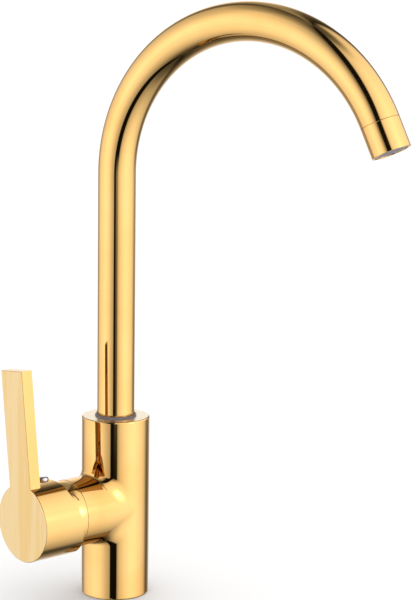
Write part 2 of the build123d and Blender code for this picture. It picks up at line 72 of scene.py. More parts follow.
MM = 0.001
TOUCH = 0.02 * MM  # how near a surface or a plane a point counts as lying on it
WELD = 1e-7  # how near two points are joined, in metres
FLAT = 1e-5  # an arc under this angle, in radians, is taken as straight
STEP = 1e-4  # the small step that a surface's slopes are found with
Number = Union[int, float]


# ---------------------------------------------------------------- shader maths


class Sock:
    """An output socket of a node tree, with operators that add Math nodes."""

    def __init__(self, graph: "Graph", socket: bpy.types.NodeSocket) -> None:
        """Wrap a socket.

        Args:
            graph: the graph that the socket's node is in.
            socket: the output socket.
        """
        self.graph = graph
        self.socket = socket

    def _math(self, operation: str, *values: Union["Sock", Number]) -> "Sock":
        """Add one Math node and return its output."""
        return self.graph.add("ShaderNodeMath", dict(enumerate(values)), operation=operation)

    def __add__(self, other: Union["Sock", Number]) -> "Sock":
        """Return self + other."""
        return self._math("ADD", self, other)

    __radd__ = __add__

    def __sub__(self, other: Union["Sock", Number]) -> "Sock":
        """Return self - other."""
        return self._math("SUBTRACT", self, other)

    def __rsub__(self, other: Number) -> "Sock":
        """Return other - self."""
        return self._math("SUBTRACT", other, self)

    def __mul__(self, other: Union["Sock", Number]) -> "Sock":
        """Return self * other."""
        return self._math("MULTIPLY", self, other)

    __rmul__ = __mul__

    def __truediv__(self, other: Union["Sock", Number]) -> "Sock":
        """Return self / other."""
        return self._math("DIVIDE", self, other)

    def cosine(self) -> "Sock":
        """Return the cosine of self."""
        return self._math("COSINE", self)

    def sine(self) -> "Sock":
        """Return the sine of self."""
        return self._math("SINE", self)

    def above(self, limit: Union["Sock", Number]) -> "Sock":
        """Return 1 where self is over the limit, and 0 elsewhere."""
        return self._math("GREATER_THAN", self, limit)

    def wrapped(self, period: "Sock") -> "Sock":
        """Return the rest of self divided by the period."""
        return self._math("MODULO", self, period)

    @staticmethod
    def sum(parts: Sequence["Sock"]) -> "Sock":
        """Add sockets up.

        Args:
            parts: the sockets, one or more.

        Returns:
            Their sum.
        """
        total = parts[0]
        for part in parts[1:]:
            total = total + part
        return total

    def over(self, low: Number, high: Number) -> "Sock":
        """Make a smooth step of self.

        Args:
            low: where the step starts, at 0.
            high: where it ends, at 1.

        Returns:
            The step.
        """
        return self.graph.add(
            "ShaderNodeMapRange",
            {"Value": self, "From Min": low, "From Max": high},
            interpolation_type="SMOOTHSTEP",
        )


class Graph:
    """A node tree whose nodes all come from one method."""

    def __init__(self, tree: bpy.types.NodeTree) -> None:
        """Empty the tree and keep it.

        Args:
            tree: the node tree of a material, of the world or of a Geometry Nodes modifier.
        """
        self.tree = tree
        tree.nodes.clear()

    def node(self, kind: str, inputs: Optional[dict] = None, **settings: Any) -> bpy.types.Node:
        """Add a node.

        Args:
            kind: the node's type name.
            inputs: values or sockets, by input name or number.
            settings: the node's own properties, set before its inputs; stops is for a ramp.

        Returns:
            The node.
        """
        node = self.tree.nodes.new(kind)
        stops = settings.pop("stops", None)
        for name, value in settings.items():
            setattr(node, name, value)
        if stops:
            self._set_stops(node.color_ramp, stops)
        for name, value in (inputs or {}).items():
            socket = node.inputs[name]
            if isinstance(value, Sock):
                self.tree.links.new(value.socket, socket)
            elif isinstance(value, tuple) and len(socket.default_value) == 4:
                socket.default_value = (*value, 1.0)[:4]
            else:
                socket.default_value = value
        return node

    def add(
        self, kind: str, inputs: Optional[dict] = None, output: Union[int, str] = 0, **settings: Any
    ) -> Sock:
        """Add a node and wrap one of its outputs.

        Args:
            kind: the node's type name.
            inputs: values or sockets, by input name or number.
            output: the output's name or number.
            settings: the node's own properties.

        Returns:
            The output, wrapped.
        """
        return Sock(self, self.node(kind, inputs, **settings).outputs[output])

    @staticmethod
    def _set_stops(ramp: bpy.types.ColorRamp, stops: Sequence[tuple]) -> None:
        """Give a colour ramp its stops.

        Args:
            ramp: the ramp, which has two stops when it is new.
            stops: each stop's place, from 0 to 1, and its colour or its level.
        """
        while len(ramp.elements) < len(stops):
            ramp.elements.new(1.0)
        for element, (place, value) in zip(ramp.elements, stops):
            element.position = place
            element.color = (*value, 1.0) if hasattr(value, "__len__") else (value, value, value, 1.0)

    def object_place(self) -> tuple[Sock, Sock, Sock, Sock]:
        """Read the Object coordinates.

        Returns:
            The coordinates as one vector, then x, y and z.
        """
        whole = self.add("ShaderNodeTexCoord", output="Object")
        parts = [self.add("ShaderNodeSeparateXYZ", {0: whole}, output=axis) for axis in "XYZ"]
        return whole, *parts

    def noise(self, place: Sock, scale: float, detail: float = 2.0) -> Sock:
        """Return a noise texture's level at a place."""
        return self.add("ShaderNodeTexNoise", {"Vector": place, "Scale": scale, "Detail": detail})

    def tint(self, share: Sock, first: Sequence[float], second: Sequence[float]) -> Sock:
        """Mix two colours.

        Args:
            share: the second colour's share, from 0 to 1.
            first: the first colour.
            second: the second colour.

        Returns:
            The mixed colour.
        """
        return self.add(
            "ShaderNodeMix", {0: share, 6: first, 7: second}, output=2, data_type="RGBA", clamp_factor=True
        )

    def bump(self, height: Sock, depth: float) -> Sock:
        """Return a normal bent by a height field whose full range is depth metres."""
        return self.add("ShaderNodeBump", {"Height": height, "Distance": depth, "Strength": 1.0})


# ---------------------------------------------------------------- finishes


@dataclass(frozen=True)
class Finish:
    """A surface finish: what every one has, before its own detail."""

    name: str
    colour: tuple[float, float, float]
    roughness: float
    metallic: float = 0.0
    specular: float = 0.5

    def material(self) -> bpy.types.Material:
        """Build the material.

        Returns:
            The material, with this finish's detail in it.
        """
        material = bpy.data.materials.new(self.name)
        material.use_nodes = True
        graph = Graph(material.node_tree)
        shader = graph.add(
            "ShaderNodeBsdfPrincipled",
            {
                "Base Color": self.colour,
                "Roughness": self.roughness,
                "Metallic": self.metallic,
                "Specular IOR Level": self.specular,
                **self.detail(graph),
            },
        )
        graph.node("ShaderNodeOutputMaterial", {"Surface": shader})
        return material

    def detail(self, graph: Graph) -> dict:
        """Return the sockets that vary over the surface; a plain finish has none."""
        return {}


@dataclass(frozen=True)
class PolishedGold(Finish):
    """Mirror-polished plating, with a faint ripple from the polishing wheel."""

    deep: tuple[float, float, float] = (0.97, 0.585, 0.2)
    ripple_scale: float = 30.0
    ripple_depth: float = 4e-6
    tone_scale: float = 22.0
    tone_range: tuple[float, float] = (0.35, 0.75)
    haze: float = 0.02
    haze_scale: float = 260.0
    haze_range: tuple[float, float] = (0.45, 0.8)

    def detail(self, graph: Graph) -> dict:
        """Vary the tone, the haze and the flatness a little over the surface.

        Args:
            graph: the material's graph.

        Returns:
            The sockets that vary, by the shader's input name.
        """
        place = graph.object_place()[0]
        cloud = graph.noise(place, self.tone_scale, 3.0)
        wear = graph.noise(place, self.haze_scale)
        return {
            "Base Color": graph.tint(cloud.over(*self.tone_range), self.colour, self.deep),
            "Roughness": self.roughness + wear.over(*self.haze_range) * self.haze,
            "Normal": graph.bump(graph.noise(place, self.ripple_scale, 1.0), self.ripple_depth),
        }


@dataclass(frozen=True)
class HandleGold(PolishedGold):
    """The handle's plating: polished, with a satin front face."""

    face_x: float = -0.088
    face_colour: tuple[float, float, float] = (0.92, 0.69, 0.37)
    face_deep: tuple[float, float, float] = (0.89, 0.62, 0.27)
    face_roughness: float = 0.3
    face_edge: float = 0.1 * MM
    streaks: tuple[float, float, float] = (1.0, 1.0, 0.06)
    grain_scale: float = 900.0
    grain_roughness: float = 0.1
    stroke_scale: float = 130.0
    stroke_range: tuple[float, float] = (0.38, 0.64)

    def detail(self, graph: Graph) -> dict:
        """Add the satin face, with fine brushing along the lever, to the polish.

        Args:
            graph: the material's graph.

        Returns:
            The sockets that vary, by the shader's input name.
        """
        sockets = super().detail(graph)
        place, along, _, _ = graph.object_place()
        face = 1 - along.over(self.face_x, self.face_x + self.face_edge)
        grain_place = graph.add("ShaderNodeMapping", {"Vector": place, "Scale": self.streaks})
        grain = graph.noise(grain_place, self.grain_scale, 3.0)
        satin = self.face_roughness + grain * self.grain_roughness
        stroke = graph.noise(grain_place, self.stroke_scale, 3.0)
        brushed = graph.tint(stroke.over(*self.stroke_range), self.face_colour, self.face_deep)
        gold = graph.tint(face, sockets["Base Color"], brushed)
        return {
            "Base Color": gold,
            "Roughness": sockets["Roughness"] * (1 - face) + satin * face,
            "Normal": sockets["Normal"],
        }


@dataclass(frozen=True)
class BodyGold(PolishedGold):
    """The casting's plating: polished, with a satin shoulder round the spout whose pale cream colour is a
    painted sheen.
    """

    deep: tuple[float, float, float] = (0.95, 0.53, 0.16)
    top: float = 0.137
    # painted sheen: the top face is coloured pale cream to stand in for the bright back wall that it
    # mirrors
    painted_sheen_top_colour: tuple[float, float, float] = (0.98, 0.84, 0.64)
    top_roughness: float = 0.3
    top_edge: tuple[float, float] = (0.1 * MM, 0.04 * MM)

    def detail(self, graph: Graph) -> dict:
        """Add the satin shoulder, with its painted sheen of pale cream colour, to the polish.

        Args:
            graph: the material's graph.

        Returns:
            The sockets that vary, by the shader's input name.
        """
        sockets = super().detail(graph)
        height = graph.object_place()[3]
        shoulder = height.over(*(self.top - drop for drop in self.top_edge))
        return {
            # painted sheen: the top face's base colour is lifted to pale cream, while its roughness is the
            # real satin
            "Base Color": graph.tint(shoulder, sockets["Base Color"], self.painted_sheen_top_colour),
            "Roughness": sockets["Roughness"] * (1 - shoulder) + shoulder * self.top_roughness,
            "Normal": sockets["Normal"],
        }


@dataclass(frozen=True)
class Moulded(Finish):
    """Moulded plastic or rubber with a fine spark-eroded grain."""

    shade: tuple[float, float, float] = (0.5, 0.5, 0.5)
    grain: float = 1400.0
    grain_roughness: float = 0.12
    depth: float = 1.2e-5
    tone_scale: float = 90.0
    tone_range: tuple[float, float] = (0.3, 0.75)

    def detail(self, graph: Graph) -> dict:
        """Vary the tone softly and give the surface its grain.

        Args:
            graph: the material's graph.

        Returns:
            The sockets that vary, by the shader's input name.
        """
        place = graph.object_place()[0]
        cloud = graph.noise(place, self.tone_scale, 3.0)
        fine = graph.noise(place, self.grain)
        return {
            "Base Color": graph.tint(cloud.over(*self.tone_range), self.colour, self.shade),
            "Roughness": self.roughness + fine * self.grain_roughness,
            "Normal": graph.bump(fine, self.depth),
        }


@dataclass(frozen=True)
class Turned(Finish):
    """Bare turned metal with fine tool marks round its axis."""

    shade: tuple[float, float, float] = (0.5, 0.4, 0.2)
    marks: float = 2600.0
    depth: float = 4e-6
    tarnish: float = 0.12
    tone_scale: float = 70.0
    tone_range: tuple[float, float] = (0.4, 0.8)

    def detail(self, graph: Graph) -> dict:
        """Give the metal tool marks along its length and a slight tarnish.

        Args:
            graph: the material's graph.

        Returns:
            The sockets that vary, by the shader's input name.
        """
        place, along, _, up = graph.object_place()
        cloud = graph.noise(place, self.tone_scale, 4.0)
        line = ((along + up) * self.marks).sine()
        return {
            "Base Color": graph.tint(cloud.over(*self.tone_range), self.colour, self.shade),
            "Roughness": self.roughness + cloud * self.tarnish,
            "Normal": graph.bump(line, self.depth),
        }


class Slot(Enum):
    """The record's material slots, by the finish that each one takes."""

    GOLD = "gold"
    RAW_BRASS = "raw_brass"
    STEEL = "steel"
    CHROME = "chrome"
    RUBBER = "rubber"
    SLIDE_PLASTIC = "slide_plastic"
    CARTRIDGE_PLASTIC = "cartridge_plastic"
    AERATOR_PLASTIC = "aerator_plastic"
    CERAMIC = "ceramic"


GOLD = dict(colour=(1.0, 0.63, 0.235), roughness=0.045, metallic=1.0)

FINISHES: dict[Slot, Finish] = {
    Slot.GOLD: PolishedGold("polished_gold", **GOLD),
    Slot.RAW_BRASS: Turned("turned_brass", (0.62, 0.45, 0.2), 0.28, 1.0, shade=(0.5, 0.34, 0.13)),
    Slot.STEEL: Turned("turned_steel", (0.6, 0.61, 0.63), 0.25, 1.0, shade=(0.5, 0.5, 0.52)),
    Slot.CHROME: Finish("bright_chrome", (0.72, 0.72, 0.78), 0.06, 1.0),
    Slot.RUBBER: Moulded("black_rubber", (0.03, 0.03, 0.032), 0.6, shade=(0.05, 0.05, 0.05)),
    Slot.SLIDE_PLASTIC: Moulded("slide_ring_grey", (0.2, 0.17, 0.2), 0.35, shade=(0.15, 0.13, 0.15)),
    Slot.CARTRIDGE_PLASTIC: Moulded("cartridge_white", (0.8, 0.8, 0.77), 0.4, shade=(0.7, 0.7, 0.67)),
    Slot.AERATOR_PLASTIC: Moulded("aerator_grey", (0.36, 0.33, 0.4), 0.4, shade=(0.28, 0.26, 0.32)),
    Slot.CERAMIC: Moulded("ground_ceramic", (0.86, 0.85, 0.8), 0.2, shade=(0.8, 0.79, 0.74), depth=2e-6),
}


# ---------------------------------------------------------------- mesh building


class MeshBuilder:
    """Points, faces and exact corner normals that become one closed mesh."""

    def __init__(self) -> None:
        """Start with nothing."""
        self.points = np.zeros((0, 3))
        self.faces: list[np.ndarray] = []
        self.normals: list[np.ndarray] = []

    def add(self, points: np.ndarray, faces: np.ndarray, normals: np.ndarray) -> None:
        """Add faces on points of their own.

        Args:
            points: the new points.
            faces: each face's points, by their places in points.
            normals: each face's corner normals.
        """
        self.faces.append(faces + len(self.points))
        self.normals.append(normals)
        self.points = np.concatenate([self.points, points])

    def add_model(self, mesh: bpy.types.Mesh, keep: Callable[[np.ndarray], np.ndarray]) -> None:
        """Add the triangles of a CAD node's mesh that keep says yes to.

        Args:
            mesh: the node's mesh, which isn't changed.
            keep: takes every triangle's corners and returns which to keep.
        """
        mesh.calc_loop_triangles()
        points = np.empty(len(mesh.vertices) * 3)
        mesh.vertices.foreach_get("co", points)
        corners = np.empty(len(mesh.loop_triangles) * 3, np.int32)
        mesh.loop_triangles.foreach_get("vertices", corners)
        loops = np.empty(len(mesh.loop_triangles) * 3, np.int32)
        mesh.loop_triangles.foreach_get("loops", loops)
        normals = np.empty(len(mesh.loops) * 3)
        mesh.corner_normals.foreach_get("vector", normals)
        points = points.reshape(-1, 3)
        corners = corners.reshape(-1, 3)
        kept = keep(points[corners])
        self.add(points, corners[kept], normals.reshape(-1, 3)[loops.reshape(-1, 3)[kept]])

    def add_grid(self, points: np.ndarray, normals: np.ndarray) -> None:
        """Add a grid of rows, closed round each row, as quads.

        Args:
            points: the grid's points, by row and column.
            normals: the normal at each point.
        """
        rows, columns = points.shape[:2]
        index = np.arange(rows * columns).reshape(rows, columns)
        beside = np.roll(index, -1, axis=1)
        quads = np.stack([index[:-1], index[1:], beside[1:], beside[:-1]], -1).reshape(-1, 4)
        self.add(points.reshape(-1, 3), quads, normals.reshape(-1, 3)[quads])

    def weld(self) -> None:
        """Join the points that lie in one place, and drop the ones that no face uses."""
        used = np.unique(np.concatenate([faces.ravel() for faces in self.faces]))
        keys = np.round(self.points[used] / WELD).astype(np.int64)
        _, first, inverse = np.unique(keys, axis=0, return_index=True, return_inverse=True)
        place = np.zeros(len(self.points), np.int64)
        place[used] = inverse.ravel()
        self.points = self.points[used][first]
        self.faces = [place[faces] for faces in self.faces]

    def _open_points(self) -> np.ndarray:
        """Find the open edges.

        Returns:
            The points on the edges that have a face on one side only.
        """
        edges = []
        for faces in self.faces:
            for corner in range(faces.shape[1]):
                edges.append(np.stack([faces[:, corner], np.roll(faces, -1, axis=1)[:, corner]], -1))
        pairs, count = np.unique(np.sort(np.concatenate(edges), axis=1), axis=0, return_counts=True)
        return np.unique(pairs[count == 1])

    def sew(self, across: int, first: float, second: float, axis: np.ndarray) -> None:
        """Join two open round rims, which lie a little apart along one axis, with triangles.

        Args:
            across: the number of the axis that both rims stand square to.
            first: one rim's place along it.
            second: the other rim's place along it.
            axis: a point on the line through both rims' centres.
        """
        candidates = self._open_points()
        one, one_angle = self._rim(candidates, across, first, axis)
        two, two_angle = self._rim(candidates, across, second, axis)
        triangles = []
        here, there = 0, 0
        while here < len(one) - 1 or there < len(two) - 1:
            more = here < len(one) - 1
            if there == len(two) - 1 or (more and one_angle[here + 1] < two_angle[there + 1]):
                triangles.append((one[here], one[here + 1], two[there]))
                here += 1
            else:
                triangles.append((two[there], one[here], two[there + 1]))
                there += 1
        faces = np.array(triangles)
        corners = self.points[faces]
        outward = corners - axis
        outward[..., across] = 0.0
        outward /= np.linalg.norm(outward, axis=-1, keepdims=True)
        facing = np.cross(corners[:, 1] - corners[:, 0], corners[:, 2] - corners[:, 0])
        inside_out = (facing * outward.sum(1)).sum(-1) < 0
        faces[inside_out] = faces[inside_out][:, ::-1]
        outward[inside_out] = outward[inside_out][:, ::-1]
        self.faces.append(faces)
        self.normals.append(outward)

    def _rim(
        self, candidates: np.ndarray, across: int, place: float, axis: np.ndarray
    ) -> tuple[np.ndarray, np.ndarray]:
        """Put one open rim's points in order round its axis.

        Args:
            candidates: the points on open edges.
            across: the number of the axis that the rim stands square to.
            place: the rim's place along it.
            axis: a point on the line through the rim's centre.

        Returns:
            The rim's points, with the first one again at the end, and the angle of each; the last
            one's angle is past every other.
        """
        plane = [number for number in range(3) if number != across]
        rim = candidates[np.abs(self.points[candidates, across] - place) < TOUCH]
        angle = np.arctan2(*(self.points[rim][:, plane] - axis[plane]).T)
        order = np.argsort(angle)
        return np.append(rim[order], rim[order[0]]), np.append(angle[order], np.inf)

    def object(self, name: str) -> bpy.types.Object:
        """Make the mesh and its object.

        Args:
            name: the piece's name.

        Returns:
            The object, linked to the scene, with smooth faces and the exact normals.
        """
        mesh = bpy.data.meshes.new(name)
        faces = [face for group in self.faces for face in group.tolist()]
        mesh.from_pydata(self.points.tolist(), [], faces)
        mesh.shade_smooth()
        mesh.normals_split_custom_set(np.concatenate([n.reshape(-1, 3) for n in self.normals]).tolist())
        mesh.update()
        piece = bpy.data.objects.new(name, mesh)
        bpy.context.scene.collection.objects.link(piece)
        return piece


# ---------------------------------------------------------------- the tap's pieces


@dataclass
class TapFrame:
    """The CAD frame, with its nodes dressed by the record's slots."""

    frame: dict
    materials: dict[Slot, bpy.types.Material] = field(default_factory=dict)

    def dress(self) -> None:
        """Give every CAD node the finish of its material slot."""
        for slot, finish in FINISHES.items():
            self.materials[slot] = finish.material()
        for part in self.frame["record"]["subparts"]:
            node = self.frame["nodes"][part["node"]]
            node.data.materials.clear()
            node.data.materials.append(self.materials[Slot(part["material_slot"])])
            log.info("%s: %s", part["node"], part["material_slot"])

    def joint_place(self, name: str) -> Vector:
        """Return where a joint's axis passes, by the joint's name."""
        joints = {joint["name"]: joint for joint in self.frame["joints"]}
        return Vector(joints[name]["pos_m"])

    def place(self, piece: bpy.types.Object, body: str, slot: str, *nodes: str) -> None:
        """Make a piece ride on a body, in place of CAD nodes.

        Args:
            piece: the finished piece.
            body: the body that it moves with.
            slot: the record's material slot; not used.
            nodes: the CAD nodes that it stands for.
        """
        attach(piece, body)
        if nodes:
            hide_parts(*nodes)
        log.info("%s rides on %s", piece.name, body)


@dataclass
class Handle:
    """The lever handle's own finish."""

    node: str = "handle"
    face_depth: float = 0.05 * MM

    def dress(self, tap: TapFrame) -> None:
        """Give the handle its plating with the satin face.

        Args:
            tap: the dressed frame.
        """
        face_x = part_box(self.node)[0].x + self.face_depth
        finish = HandleGold("handle_gold", **GOLD, face_x=face_x)
        handle = tap.frame["nodes"][self.node]
        handle.data.materials[0] = finish.material()


# ---------------------------------------------------------------- the body's casting


@dataclass
class Body:
    """The body casting: its outer skin, where the branch grows out of the upright with a soft blend.

    The skin is a grid of columns round the branch. Each column starts at the branch's end, runs
    along it, crosses the blend and fans out over the upright. The CAD node's recess, sockets and
    ends are kept, and the skin is sewn to their rims.
    """

    node: str = "body"
    body: str = "body"
    slot: Slot = Slot.GOLD
    branch_radius: float = 25.4 * MM
    top_round: float = 1.2 * MM
    foot_round: float = 1.5 * MM
    end_round: float = 0.5 * MM
    crotch_blend: float = 2.5 * MM
    side_blend: float = 28.0 * MM
    blend_growth: float = 3.0
    margin: float = 0.3 * MM
    columns: int = 360
    branch_rows: int = 8
    blend_rows: int = 26
    upright_rows: int = 40
    row_growth: float = 1.3
    radius: float = field(init=False)
    height: float = field(init=False)
    end: float = field(init=False)
    axis_height: float = field(init=False)

    def measure(self, tap: TapFrame) -> None:
        """Take the upright's and the branch's sizes from the frame.

        Args:
            tap: the dressed frame.
        """
        low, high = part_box(self.node)
        self.radius = high.x
        self.height = high.z
        self.end = low.x
        self.axis_height = tap.joint_place("handle_mix").z

    # ------------------------------------------------ the blend's geometry

    def blend_radius(self, turn: np.ndarray) -> np.ndarray:
        """Return the rolling ball's radius at each turn round the branch.

        Args:
            turn: angle round the branch, 0 at its front side and a quarter turn at its top.

        Returns:
            The small radius in the crotches above and below, and the large one at the sides.
        """
        side = np.abs(np.cos(turn)) ** self.blend_growth
        return self.crotch_blend + (self.side_blend - self.crotch_blend) * side

    def ball(self, turn: np.ndarray) -> tuple[np.ndarray, np.ndarray, np.ndarray, np.ndarray]:
        """Place the ball that rolls along the crotch.

        Args:
            turn: angle round the branch.

        Returns:
            The ball's radius and centre, and where it touches the upright and the branch.
        """
        radius = self.blend_radius(turn)
        across = -(self.branch_radius + radius) * np.cos(turn)
        up = (self.branch_radius + radius) * np.sin(turn)
        along = -np.sqrt(np.maximum((self.radius + radius) ** 2 - across**2, 0.0))
        centre = np.stack([along, across, up], -1)
        to_upright = (self.radius / (self.radius + radius))[..., None]
        to_branch = (self.branch_radius / (self.branch_radius + radius))[..., None]
        upright = centre * np.concatenate([to_upright, to_upright, np.ones_like(to_upright)], -1)
        branch = centre * np.concatenate([np.ones_like(to_branch), to_branch, to_branch], -1)
        return radius, centre, upright, branch

    def blend(self, turn: np.ndarray, share: np.ndarray) -> np.ndarray:
        """Lay the blend's points on the ball's arcs.

        Args:
            turn: angle round the branch.
            share: how far along the arc, from 0 at the branch to 1 at the upright.

        Returns:
            The points, with heights from the branch's axis.
        """
        radius, centre, upright, branch = self.ball(turn)
        first = (branch - centre) / radius[..., None]
        last = (upright - centre) / radius[..., None]
        angle = np.arccos(np.clip((first * last).sum(-1), -1.0, 1.0))[..., None]
        flat = angle < FLAT
        sine = np.where(flat, 1.0, np.sin(angle))
        share = share[..., None]
        first_part = np.where(flat, 1.0 - share, np.sin((1.0 - share) * angle) / sine)
        last_part = np.where(flat, share, np.sin(share * angle) / sine)
        return centre + radius[..., None] * (first_part * first + last_part * last)

    def blend_normals(self, turn: np.ndarray, share: np.ndarray) -> np.ndarray:
        """Find the blend's normals from small steps in both directions.

        Args:
            turn: angle round the branch.
            share: how far along the arc.

        Returns:
            The outward normals.
        """
        round_step = self.blend(turn + STEP, share) - self.blend(turn - STEP, share)
        cross_step = self.blend(turn, share + STEP) - self.blend(turn, share - STEP)
        normal = np.cross(cross_step, round_step)
        return normal / np.linalg.norm(normal, axis=-1, keepdims=True)

    # ------------------------------------------------ the skin's grid

    def _upright_targets(self, start: np.ndarray) -> np.ndarray:
        """Return where each column ends on the unrolled upright's edge.

        Args:
            start: where the columns leave the blend, as arc and height from the branch's axis.

        Returns:
            The same for the columns' ends, with one column in each of the four corners.
        """
        half_round = math.pi * self.radius
        top = self.height - self.top_round - self.margin - self.axis_height
        foot = self.foot_round + self.margin - self.axis_height
        angle = np.arctan2(start[:, 1], start[:, 0])
        across, up = np.cos(angle), np.sin(angle)
        with np.errstate(divide="ignore"):
            side_way = half_round / np.abs(across)
            end_way = np.where(up > 0, top / up, foot / up)
        way = np.minimum(side_way, end_way)
        target = np.stack([across * way, up * way], -1)
        for corner in ((-half_round, top), (half_round, top), (-half_round, foot), (half_round, foot)):
            gap = np.abs(np.angle(np.exp(1j * (angle - math.atan2(corner[1], corner[0])))))
            target[gap.argmin()] = corner
        return target

    def skin(self) -> tuple[np.ndarray, np.ndarray]:
        """Make the skin's grid.

        Returns:
            Its points and normals, as rows from the branch's end to the upright's ends.
        """
        turn = np.arange(self.columns) * (math.tau / self.columns)
        _, _, upright, branch = self.ball(turn)
        rows, normals = [], []
        end = self.end + self.end_round + self.margin
        branch_normal = np.stack([0 * turn, -np.cos(turn), np.sin(turn)], -1)
        for share in np.linspace(0.0, 1.0, self.branch_rows, endpoint=False):
            row = branch.copy()
            row[:, 0] = end + (branch[:, 0] - end) * share
            rows.append(row)
            normals.append(branch_normal)
        for share in np.linspace(0.0, 1.0, self.blend_rows, endpoint=False):
            shares = np.full_like(turn, share)
            rows.append(self.blend(turn, shares))
            normals.append(self.blend_normals(turn, shares))
        arc = np.arctan2(upright[:, 1], -upright[:, 0]) * self.radius
        start = np.stack([arc, upright[:, 2]], -1)
        target = self._upright_targets(start)
        for share in np.linspace(0.0, 1.0, self.upright_rows) ** self.row_growth:
            place = start + (target - start) * share
            heading = place[:, 0] / self.radius
            normal = np.stack([-np.cos(heading), np.sin(heading), 0 * heading], -1)
            row = normal * self.radius
            row[:, 2] = place[:, 1]
            rows.append(row)
            normals.append(normal)
        points = np.stack(rows)
        points[..., 2] += self.axis_height
        return points, np.stack(normals)

    # ------------------------------------------------ sewing it to the CAD node

    def _is_skin(self, points: np.ndarray) -> np.ndarray:
        """Find the CAD node's points that lie on the skin that is made anew.

        Args:
            points: the points.

        Returns:
            True for each point on that skin.
        """
        x, y, z = points.T
        upright = np.hypot(x, y) >= self.radius - TOUCH
        branch = np.hypot(y, z - self.axis_height) >= self.branch_radius - TOUCH
        level = (z >= self.foot_round - TOUCH) & (z <= self.height - self.top_round + TOUCH)
        return upright & (branch | (x > 0)) & level & (x >= self.end + self.end_round - TOUCH)

    def _is_kept(self, corners: np.ndarray) -> np.ndarray:
        """Return which triangles have a corner off the skin that is made anew."""
        return ~self._is_skin(corners.reshape(-1, 3)).reshape(-1, 3).all(1)

    def build(self, tap: TapFrame) -> bpy.types.Object:
        """Make the casting's mesh from the CAD node's inner faces and the new skin.

        Args:
            tap: the dressed frame.

        Returns:
            The casting, with exact normals.
        """
        self.measure(tap)
        casting = MeshBuilder()
        model = tap.frame["nodes"][self.node].data
        casting.add_model(model, self._is_kept)
        points, normals = self.skin()
        casting.add_grid(points, normals)
        casting.weld()
        axis = np.array([0.0, 0.0, self.axis_height])
        end_rim = self.end + self.end_round
        top_rim = self.height - self.top_round
        casting.sew(0, end_rim, end_rim + self.margin, axis)
        casting.sew(2, top_rim, top_rim - self.margin, axis)
        casting.sew(2, self.foot_round, self.foot_round + self.margin, axis)
        piece = casting.object("body_casting")
        piece.data.materials.append(BodyGold("body_gold", **GOLD, top=self.height).material())
        tap.place(piece, self.body, self.slot.value, self.node)
        return piece


# ---------------------------------------------------------------- the spout's tube


